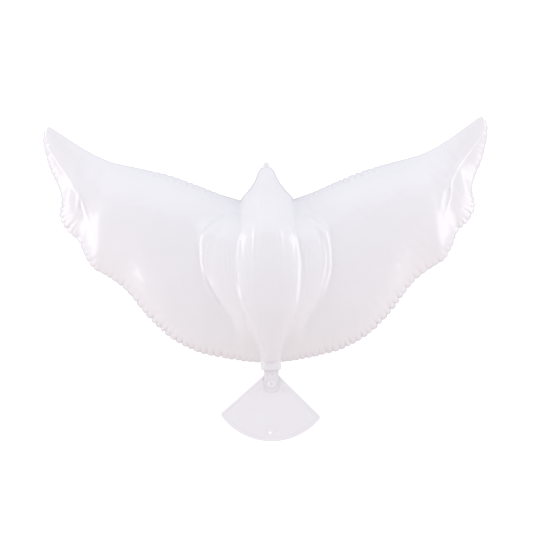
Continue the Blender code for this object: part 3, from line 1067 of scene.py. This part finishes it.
    def with_flanges(self, film: Array, side: Side) -> Array:
        """Add the sealed band outside both of a film's seams.

        Args:
            film: The film between its seams.
            side: Which film.

        Returns:
            The film with its bands.
        """
        bands = []
        for index, pleats in enumerate(self.pleats):
            outward = self.edges[index] - self.seams[index]
            length = np.maximum(np.linalg.norm(outward, axis=1), 1e-9)[:, None]
            pull = pleats.valleys(pleats.run, np.zeros_like(pleats.run)) * pleats.style.pull
            seam = film[:, 0 if index == 0 else -1]
            band = []
            for step in range(1, self.steps.flange + 1):
                share = step / self.steps.flange
                point = seam.copy()
                drawn_in = outward / length * (pull * 0.5 * share)[:, None]
                point[:, :2] += outward * share - drawn_in
                over_neck = self.neck_crest(point[:, 0]) if index else 0.0
                level = self.size.seam_thickness / 2 + over_neck
                point[:, 2] = level * side.value + pleats.sway(pleats.run) * (1 + 0.5 * share)
                band.append(point)
            bands.append(band)
        lead = np.stack(bands[0][::-1], axis=1)
        trail = np.stack(bands[1], axis=1)
        return np.concatenate((lead, film, trail), axis=1)

    def build(self) -> bpy.types.Object:
        """Close the two films along their outer edges into one mesh.

        Returns:
            The bag's film as one object.
        """
        upper = self.film(Side.UPPER, self.steps.upper)
        lower = self.film(Side.LOWER, self.steps.lower)
        origin = np.array(self.origin)
        points = np.vstack((upper.reshape(-1, 3), lower.reshape(-1, 3))) + origin
        points[:, 2] = np.maximum(points[:, 2], 0.0)
        faces = self.grid_faces(upper.shape, 0, False)
        start = upper.shape[0] * upper.shape[1]
        faces += self.grid_faces(lower.shape, start, True)
        faces += self.rim_faces(upper.shape, lower.shape, start)
        return mesh_object("bag_film", points.tolist(), faces, 42.0)

    @staticmethod
    def grid_faces(shape: tuple[int, ...], start: int, flip: bool) -> list:
        """Faces of a grid of points.

        Args:
            shape: The grid's rows and columns.
            start: The number of its first point.
            flip: Whether the faces look the other way.

        Returns:
            Four corner numbers for each face.
        """
        index = np.arange(shape[0] * shape[1]).reshape(shape[:2]) + start
        corners = [index[:-1, :-1], index[1:, :-1], index[1:, 1:], index[:-1, 1:]]
        if flip:
            corners.reverse()
        return np.stack(corners, axis=-1).reshape(-1, 4).tolist()

    @staticmethod
    def rim_faces(upper: tuple[int, ...], lower: tuple[int, ...], start: int) -> list:
        """Faces that join the two films' outer edges.

        Args:
            upper: Rows and columns of the upper film's grid.
            lower: The same of the lower film's.
            start: The number of the lower film's first point.

        Returns:
            Corner numbers for each face.
        """
        above = np.arange(upper[0] * upper[1]).reshape(upper[:2])
        below = np.arange(lower[0] * lower[1]).reshape(lower[:2]) + start
        faces = []
        for i in range(upper[0] - 1):
            faces.append((above[i, 0], below[i, 0], below[i + 1, 0], above[i + 1, 0]))
            faces.append((above[i, -1], above[i + 1, -1], below[i + 1, -1], below[i, -1]))
        first = [*above[0], *below[0][::-1]]
        last = [*above[-1][::-1], *below[-1]]
        faces.append(tuple(first[::-1]))
        faces.append(tuple(last[::-1]))
        return [tuple(int(corner) for corner in face) for face in faces]


@dataclass(frozen=True)
class Place:
    """Where the tail's pieces meet, in the seam's plane.

    Attributes:
        seam_end: Y of the bag's trailing edge at its middle.
        stud: Y of the press stud.
    """

    seam_end: float
    stud: float


@dataclass
class Beak:
    """The small round nub at the head's end.

    Attributes:
        origin: The middle of the seam's plane in the world.
        width: Of the nub.
        length: How far it stands out of the head's outline.
        thickness: Of the nub.
        root: How far it reaches into the head.
        rounding: Length of its round end.
    """

    origin: Vector
    width: float = 0.013
    length: float = 0.008
    thickness: float = 0.008
    root: float = 0.008
    rounding: float = 0.006

    def build(self) -> bpy.types.Object:
        """Turn the nub about the bag's middle line, from inside the head outwards.

        Returns:
            The nub.
        """
        front = HEAD_OUTLINE[0, 1] * HALF_SPAN
        tip = front + self.length
        angles = np.linspace(0.0, pi / 2, 10)[:-1]
        profile = [(0.0, front - self.root), (0.5, front - self.root)]
        profile += [(0.5 * cos(a), tip - self.rounding * (1 - sin(a))) for a in angles]
        profile.append((0.0, tip))
        points, faces = turned(profile, 32)
        placed = [(x * self.width, z, -y * self.thickness) for x, y, z in points]
        return mesh_object("beak_nub", [tuple(Vector(p) + self.origin) for p in placed], faces)


@dataclass
class Neck:
    """The filling neck: a round-ended tube of film that runs out into a flat, crumpled tab.

    Attributes:
        origin: The middle of the seam's plane in the world.
        place: Where the tail's pieces meet.
        width: Of the tube.
        height: Of the tube.
        length: From the bag's edge to the tube's end.
        root: How far the tube reaches into the bag.
        end_rounding: Radius of the tube's end.
        tab_width: Of the tab.
        tab_length: From the tube's end to the tab's end.
        tab_thickness: Of the tab's two films.
        tab_corner: Radius of the tab's corners, as a share of its width.
        stud_clearance: How far about the stud the tab lies flat.
        sides: Steps around the tube.
    """

    origin: Vector
    place: Place
    width: float = 0.038
    height: float = 0.024
    length: float = 0.0145
    root: float = 0.016
    end_rounding: float = 0.005
    tab_width: float = 0.028
    tab_length: float = 0.0415
    tab_thickness: float = 0.0006
    tab_corner: float = 0.4
    stud_clearance: float = 0.010
    sides: int = 96

    def build_tube(self) -> bpy.types.Object:
        """Rings of film from inside the bag to the tube's rounded end.

        Returns:
            The tube.
        """
        sides = self.sides
        straight = self.place.seam_end - self.length + self.end_rounding
        inside = self.place.seam_end + self.root
        stations = [(y, 1.0) for y in np.linspace(inside, straight, 22)]
        for angle in np.radians(np.linspace(6, 90, 15)):
            share = 1 - self.end_rounding / (self.height / 2) * (1 - cos(angle))
            stations.append((straight - self.end_rounding * sin(angle), share))
        points = []
        for y, share in stations:
            for side in range(sides):
                angle = 2 * pi * side / sides
                fold = 1 + 0.025 * sin(7 * angle + 90 * y) + 0.015 * sin(17 * angle - 140 * y)
                x = self.width / 2 * share ** 0.3 * cos(angle) * fold
                z = self.height / 2 * share * sin(angle) * fold
                points.append(tuple(Vector((x, y, z)) + self.origin))
        faces = [tuple(range(sides)), tuple(range(len(points) - 1, len(points) - sides - 1, -1))]
        for ring in range(len(stations) - 1):
            for side in range(sides):
                after = (side + 1) % sides
                near = ring * sides
                faces.append((near + side, near + after, near + sides + after, near + sides + side))
        return mesh_object("neck_tube", points, faces)

    def build_tab(self) -> bpy.types.Object:
        """A thin crumpled strip that lies on the fan and is held by the stud.

        Returns:
            The tab.
        """
        half = self.tab_width / 2
        start = self.place.seam_end - self.length / 2
        end = self.place.seam_end - self.length - self.tab_length
        corner = self.tab_width * self.tab_corner
        rounded = end + corner * (1 - np.sin(np.linspace(0, pi / 2, 16)))
        ys = np.concatenate((np.linspace(start, end + corner, 40)[:-1], rounded))
        below = np.clip((end + corner - ys) / corner, 0.0, 1.0)
        half_widths = half - corner + corner * np.sqrt(np.clip(1 - below ** 2, 0.0, 1.0))
        half_widths = np.maximum(half_widths, half - corner)
        shares = np.linspace(-1.0, 1.0, 41)
        x = half_widths[:, None] * shares[None, :]
        y = np.repeat(ys[:, None], len(shares), axis=1)
        from_stud = np.hypot(x, y - self.place.stud)
        loose = 1 - np.exp(-(from_stud / self.stud_clearance) ** 4)
        folds = waves(x * 1.8, y, 31, 0.012, 0.00035) + waves(x, y * 0.6, 32, 0.006, 0.00012)
        lift = np.clip(folds + 0.0006, 0.0, None) * loose
        upper = np.dstack((x, y, lift + self.tab_thickness / 2)) + np.array(self.origin)
        lower = np.dstack((x, y, lift - self.tab_thickness / 2)) + np.array(self.origin)
        return sheet_object("neck_tab", upper, lower)


@dataclass
class TailFan:
    """The flat tail: two films sealed along their border, with a ribbon hole.

    Attributes:
        origin: The middle of the seam's plane in the world.
        place: Where the tail's pieces meet.
        reach: From the stud to the round edge.
        arc_radius: Of the round edge.
        half_angle: Half the angle between the straight edges, in degrees.
        turn: How far the fan is turned on its stud, in degrees.
        corner: Radius of its corners.
        thickness: Of its two films.
        top: From the stud to the cut under the neck.
        top_width: How far apart the straight edges are there.
        hole: Diameter of the ribbon hole.
        hole_from_edge: From the round edge to the hole's middle.
        post_radius: Of the hole for the stud's post.
        seal_from_edge: From the edge to the border seal's groove.
        seal_depth: Of that groove.
        hole_ring: Radius of the groove about the ribbon hole.
        ring_depth: Of that groove.
        groove_width: Half width of both grooves.
        ripple_depth: Of the film's ripples about the stud.
    """

    origin: Vector
    place: Place
    reach: float = 0.110
    arc_radius: float = 0.120
    half_angle: float = 47.0
    turn: float = 3.0
    corner: float = 0.006
    thickness: float = 0.0008
    top: float = 0.017
    top_width: float = 0.0279
    hole: float = 0.004
    hole_from_edge: float = 0.017
    post_radius: float = 0.0023
    seal_from_edge: float = 0.0058
    seal_depth: float = 0.00090
    hole_ring: float = 0.0092
    ring_depth: float = 0.00070
    groove_width: float = 0.0011
    ripple_depth: float = 0.00035

    def outline(self) -> Array:
        """The fan's outline about the stud, cut square at the top under the neck.

        Returns:
            Points around it.
        """
        top = self.top
        spread = radians(self.half_angle)
        middle = self.arc_radius - self.reach
        apex = top + self.top_width / 2 / sin(spread) * cos(spread)
        inner = self.arc_radius - self.corner
        side_shift = (apex - middle) * sin(spread) - self.corner
        bearing = asin(min(side_shift / inner, 1.0)) + spread
        corner_at = Vector((inner * sin(bearing), middle - inner * cos(bearing)))
        corner_angle = atan2(corner_at.y - middle, corner_at.x)
        half = [((apex - top) * sin(spread) / cos(spread), top)]
        for angle in np.linspace(pi / 2 - spread, corner_angle, 9):
            x = corner_at.x + self.corner * cos(angle)
            half.append((x, corner_at.y + self.corner * sin(angle)))
        for angle in np.linspace(corner_angle, -pi / 2, 60)[1:]:
            half.append((self.arc_radius * cos(angle), middle + self.arc_radius * sin(angle)))
        return np.array(half + [(-x, y) for x, y in half[-2::-1]])

    def build(self) -> bpy.types.Object:
        """A fine grid from the stud's hole out to the outline, on both faces.

        Returns:
            The fan with its holes.
        """
        corners = self.outline()
        closed = np.vstack((corners, corners[:1]))
        steps = np.linalg.norm(np.diff(closed, axis=0), axis=1)
        run = np.concatenate(([0.0], np.cumsum(steps)))
        even = np.linspace(0.0, run[-1], 361)[:-1]
        rim = np.column_stack([np.interp(even, run, closed[:, axis]) for axis in (0, 1)])
        start = rim / np.linalg.norm(rim, axis=1)[:, None] * self.post_radius
        shares = np.linspace(0.0, 1.0, 61)[:, None, None]
        plan = start[None] + (rim - start)[None] * shares
        x, y = plan[..., 0], plan[..., 1]
        from_edge = self.edge_distance(plan, closed)
        off_seal = (from_edge - self.seal_from_edge) / self.groove_width
        lift = -self.seal_depth * np.exp(-off_seal ** 2)
        from_hole = np.hypot(x, y - self.hole_from_edge + self.reach)
        off_ring = (from_hole - self.hole_ring) / self.groove_width
        lift -= self.ring_depth * np.exp(-off_ring ** 2)
        inside = np.clip((from_edge - self.seal_from_edge) / 0.004, 0.0, 1.0)
        from_stud = np.hypot(x, y)
        free = np.clip((from_stud - 0.012) / 0.02, 0.0, 1.0)
        beside = np.clip((np.abs(x) - 0.016) / 0.006, 0.0, 1.0)
        clear = np.maximum(beside, np.clip((-0.018 - y) / 0.008, 0.0, 1.0))
        lift += (waves(x, y, 41, 0.045, 0.00030) - 0.0002) * inside * free * clear
        rings = np.exp(-((from_stud - 0.024) / 0.010) ** 2) * np.clip(-y / 0.012, 0.0, 1.0)
        lift -= self.ripple_depth * rings * (1 + np.sin(2 * pi * from_stud / 0.0055)) * clear
        turn = radians(-self.turn)
        under_tab = -0.0006
        turned_x = x * cos(turn) - y * sin(turn)
        turned_y = x * sin(turn) + y * cos(turn) + self.place.stud
        upper = np.dstack((turned_x, turned_y, under_tab + np.minimum(lift, 0.0)))
        upper = upper + np.array(self.origin)
        lower = upper - np.array((0.0, 0.0, self.thickness))
        fan = ring_sheet("tail_fan_film", upper, lower)
        self.cut_hole(fan)
        return fan

    @staticmethod
    def edge_distance(plan: Array, closed: Array) -> Array:
        """Distance of each place to the outline's nearest edge.

        Args:
            plan: A grid of places.
            closed: The outline's points, with the first one again at the end.

        Returns:
            A grid of distances.
        """
        flat = plan.reshape(-1, 2)
        best = np.full(len(flat), np.inf)
        for first, second in zip(closed, closed[1:]):
            line = second - first
            t = np.clip(((flat - first) @ line) / max(line @ line, 1e-12), 0.0, 1.0)
            best = np.minimum(best, np.linalg.norm(flat - first - t[:, None] * line, axis=1))
        return best.reshape(plan.shape[:2])

    def cut_hole(self, fan: bpy.types.Object) -> None:
        """Cut the ribbon hole through the finished sheet.

        Args:
            fan: The sheet.
        """
        turn = radians(-self.turn)
        off = self.hole_from_edge - self.reach
        x, y = -off * sin(turn), off * cos(turn) + self.place.stud
        radius, half_length = self.hole / 2, 0.004
        profile = [(0.0, half_length), (radius, half_length)]
        profile += [(radius, -half_length), (0.0, -half_length)]
        points, faces = turned(profile, 32)
        place = Vector((x, y, 0.0)) + self.origin
        placed = [tuple(Vector(point) + place) for point in points]
        cutter = mesh_object("ribbon_hole_cutter", placed, faces)
        modifier = fan.modifiers.new("ribbon_hole", "BOOLEAN")
        modifier.operation = "DIFFERENCE"
        modifier.object = cutter
        bpy.context.view_layer.update()
        evaluated = fan.evaluated_get(bpy.context.evaluated_depsgraph_get())
        cut = bpy.data.meshes.new_from_object(evaluated)
        fan.modifiers.clear()
        fan.data = cut
        bpy.data.objects.remove(cutter, do_unlink=True)


@dataclass
class PressStud:
    """The moulded stud: a cap with a dimple and a post on the tab, and a socket below the fan.

    Attributes:
        origin: The middle of the seam's plane in the world.
        place: Where the tail's pieces meet.
        cap_diameter: Of the cap.
        cap_height: Above its seat.
        dimple_diameter: Of the dimple in its top.
        dimple_depth: Of the dimple.
        post_diameter: Of the post under it.
        socket_diameter: Of the socket.
        socket_height: Of the socket.
        socket_floor: Thickness of the socket's floor under the post.
        tab_thickness: Of the sheet under the cap.
        fan_thickness: Of the sheet under that.
        gap: Between neighbouring pieces.
    """

    origin: Vector
    place: Place
    cap_diameter: float = 0.017
    cap_height: float = 0.0032
    dimple_diameter: float = 0.006
    dimple_depth: float = 0.0016
    post_diameter: float = 0.004
    socket_diameter: float = 0.014
    socket_height: float = 0.0034
    socket_floor: float = 0.0012
    tab_thickness: float = 0.0006
    fan_thickness: float = 0.0008
    gap: float = 0.0003

    def build_cap(self) -> bpy.types.Object:
        """Turn the cap and its post.

        Returns:
            The cap.
        """
        rim, dimple = self.cap_diameter / 2, self.dimple_diameter / 2
        crest = (rim + dimple) / 2
        floor = self.cap_height - self.dimple_depth
        key = np.array((
            (0.0, floor), (dimple * 0.7, floor), (dimple, floor + self.dimple_depth / 2),
            (crest - dimple * 0.3, self.cap_height), (crest + dimple * 0.2, self.cap_height * 0.97),
            (rim * 0.93, self.cap_height * 0.6), (rim, self.cap_height * 0.25), (rim, 0.0),
        ))
        smooth = through(key, np.linspace(0, len(key) - 1, 36))
        smooth[0, 0] = 0.0
        profile = [(max(r, 0.0), z) for r, z in smooth]
        post = self.post_diameter / 2
        sheets = self.fan_thickness + self.tab_thickness + 2 * self.gap
        end = self.socket_floor - self.socket_height - sheets
        profile += [(post, 0.0), (post, end), (0.0, end)]
        seat = self.tab_thickness / 2 + self.gap
        return self.turn_piece("stud_cap_moulded", profile, seat)

    def build_socket(self) -> bpy.types.Object:
        """Turn the socket that the post goes into.

        Returns:
            The socket.
        """
        rim = self.socket_diameter / 2
        bore = self.post_diameter / 2 + self.gap
        floor = self.socket_floor - self.socket_height
        profile = [(0.0, floor), (bore, floor), (bore, 0.0), (rim - 0.0003, 0.0), (rim, -0.0003)]
        profile += [(rim, -self.socket_height * 0.4), (rim * 0.93, -self.socket_height * 0.75)]
        profile += [(rim * 0.8, -self.socket_height), (0.0, -self.socket_height)]
        seat = -self.tab_thickness / 2 - self.fan_thickness - 2 * self.gap
        return self.turn_piece("stud_socket_moulded", profile, seat)

    def turn_piece(self, name: str, profile: list, seat: float) -> bpy.types.Object:
        """Turn a profile about the stud's axis.

        Args:
            name: The piece's name.
            profile: (radius, height) pairs.
            seat: Height of the profile's zero above the seam's plane.

        Returns:
            The turned piece.
        """
        points, faces = turned(profile, 64)
        place = self.origin + Vector((0.0, self.place.stud, seat))
        return mesh_object(name, [tuple(Vector(p) + place) for p in points], faces, 40.0)


@dataclass(frozen=True)
class Softbox:
    """A softbox that faces the balloon.

    Attributes:
        name: The light's name.
        place: Its X and Y.
        height: Its Z.
        size: Its width and length.
        watts: Its power.
    """

    name: str
    place: Point
    height: float
    size: Point
    watts: float

    def build(self) -> None:
        """Hang the softbox."""
        light = bpy.data.lights.new(self.name, "AREA")
        light.shape = "RECTANGLE"
        light.size, light.size_y = self.size
        light.energy = self.watts
        obj = bpy.data.objects.new(self.name, light)
        obj.location = (*self.place, self.height)
        aim = Vector((0.0, 0.0, 0.1)) - Vector(obj.location)
        obj.rotation_euler = aim.to_track_quat("-Z", "Y").to_euler()
        bpy.context.collection.objects.link(obj)


@dataclass
class Studio:
    """The pale table, the soft lights and the camera straight above.

    Attributes:
        origin: The middle of the seam's plane in the world.
        softboxes: A wide weak one past the head and one beside each wing.
        below: Colour of the light that comes up from the table, in sRGB.
        horizon: Colour of the walls.
        ceiling: Colour of the dimmer ceiling.
        past_tail: Tint of the walls past the tail, a little dimmer and pinker.
        past_head: Tint of the walls past the head.
        strength: Of the walls' light.
        table_half: Half the table's width.
        table_glow: How brightly the table glows.
        distance: From the seam's plane up to the camera.
        lean: How far the camera is turned, in degrees, so that the head leans left.
        off_middle: How far the frame's middle lies right of the seam's and above it, in pixels.
    """

    origin: Vector
    softboxes: tuple[Softbox, ...] = (
        Softbox("softbox_head", (0.0, 1.8), 1.3, (2.5, 1.2), 3.5),
        Softbox("softbox_left", (-1.72, 0.25), 0.60, (2.2, 0.9), 9.2),
        Softbox("softbox_right", (1.75, 0.25), 0.60, (2.2, 0.9), 8.4),
    )
    below: str = "DBDADD"
    horizon: str = "F9FDFC"
    ceiling: str = "D3D7D6"
    past_tail: str = "F8EAE8"
    past_head: str = "F2F3FA"
    strength: float = 1.22
    table_half: float = 15.0
    table_glow: float = 0.40
    distance: float = 3.0
    lean: float = -1.39
    off_middle: Point = (-2.5, 13.5)

    def build_floor(self) -> bpy.types.Object:
        """A wide white light table, which neither lights the balloon nor shows in its gloss.

        Returns:
            The table.
        """
        half = self.table_half
        points = [(-half, -half, 0.0), (half, -half, 0.0), (half, half, 0.0), (-half, half, 0.0)]
        floor = mesh_object("light_table", points, [(0, 1, 2, 3)])
        # Opal acrylic, cast and polished, and lit from below. The eye sees an even white glow
        material = bpy.data.materials.new("white_acrylic_table")
        material.use_nodes = True
        shader = material.node_tree.nodes["Principled BSDF"]
        shader.inputs["Base Color"].default_value = linear("FAFAFB")
        shader.inputs["Roughness"].default_value = 0.6
        shader.inputs["Emission Color"].default_value = linear("FFFFFF")
        shader.inputs["Emission Strength"].default_value = self.table_glow
        floor.data.materials.append(material)
        floor.visible_diffuse = False
        floor.visible_glossy = False
        return floor

    def build_lights(self) -> None:
        """Hang the softboxes and light the studio's walls."""
        for softbox in self.softboxes:
            softbox.build()
        self.build_walls()

    def build_walls(self) -> None:
        """White walls under a dimmer ceiling, and a little dimmer and pinker past the tail."""
        world = bpy.data.worlds.new("white_walls")
        world.use_nodes = True
        tree = world.node_tree
        direction = add_node(tree, "ShaderNodeTexCoord", {}).outputs["Generated"]
        parts = add_node(tree, "ShaderNodeSeparateXYZ", {"Vector": direction}).outputs
        level = add_node(tree, "ShaderNodeMapRange", {
            "Value": parts["Z"], "From Min": -1.0, "From Max": 1.0,
        })
        upward = add_node(tree, "ShaderNodeValToRGB", {"Fac": level.outputs["Result"]})
        stops = (
            (0.0, self.below), (0.46, self.below), (0.52, self.horizon), (1.0, self.ceiling),
        )
        for place, colour in stops[1:-1]:
            upward.color_ramp.elements.new(place)
        for element, (place, colour) in zip(upward.color_ramp.elements, stops):
            element.position = place
            element.color = linear(colour)
        towards = add_node(tree, "ShaderNodeMapRange", {
            "Value": parts["Y"], "From Min": -1.0, "From Max": 1.0,
        })
        lengthwise = add_node(tree, "ShaderNodeMix", {
            "Factor": towards.outputs["Result"],
            "A": linear(self.past_tail), "B": linear(self.past_head),
        }, data_type="RGBA")
        both = add_node(tree, "ShaderNodeMix", {
            "Factor": 1.0, "A": upward.outputs["Color"], "B": colour_output(lengthwise),
        }, data_type="RGBA", blend_type="MULTIPLY")
        background = tree.nodes["Background"]
        tree.links.new(colour_output(both), background.inputs["Color"])
        background.inputs["Strength"].default_value = self.strength
        bpy.context.scene.world = world

    def build_camera(self) -> None:
        """Look straight down, turned so that the head leans left as in the photograph."""
        pixel = 2 * HALF_SPAN / PHOTO_SPAN
        roll = radians(self.lean)
        off_right, off_up = (pixels * pixel for pixels in self.off_middle)
        x = self.origin.x + off_right * cos(roll) - off_up * sin(roll)
        y = self.origin.y + off_right * sin(roll) + off_up * cos(roll)
        data = bpy.data.cameras.new("portrait_camera")
        data.sensor_width = 36.0
        data.lens = data.sensor_width * self.distance / (PHOTO_SIDE * pixel)
        camera = bpy.data.objects.new("portrait_camera", data)
        camera.location = (x, y, self.origin.z + self.distance)
        camera.rotation_euler = (0.0, 0.0, roll)
        bpy.context.collection.objects.link(camera)
        bpy.context.scene.camera = camera
        bpy.context.scene.view_settings.view_transform = "Standard"


def main() -> None:
    """Build the balloon's pieces in order, then the studio."""
    low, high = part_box("stud_cap")
    stud_y = (low[1] + high[1]) / 2
    seam_end = TAIL_MIDDLE * HALF_SPAN
    origin = Vector((0.0, stud_y - (seam_end - STUD_FROM_SEAM), SEAM_HEIGHT))
    place = Place(seam_end, stud_y - origin.y)
    film, fan_film, moulded = BAG_FILM.make(), FAN_FILM.make(), STUD_PLASTIC.make()
    neck = Neck(origin, place)
    stud = PressStud(origin, place)
    pieces = (
        (Bag(BagSize(), GridSteps(), origin).build(), film, "balloon_bag", "balloon_film"),
        (Beak(origin).build(), film, "balloon_bag", "balloon_film"),
        (neck.build_tube(), film, "balloon_bag", "balloon_film"),
        (neck.build_tab(), film, "balloon_bag", "balloon_film"),
        (TailFan(origin, place).build(), fan_film, "tail_fan", "tail_sheet"),
        (stud.build_cap(), moulded, "stud_cap", "stud_plastic"),
        (stud.build_socket(), moulded, "stud_socket", "stud_plastic"),
    )
    for piece, finish, node, slot in pieces:
        piece.data.materials.append(finish)
        join_piece(piece, node)
    studio = Studio(origin)
    studio.build_floor()
    studio.build_lights()
    studio.build_camera()


if __name__ == "__main__":
    main()
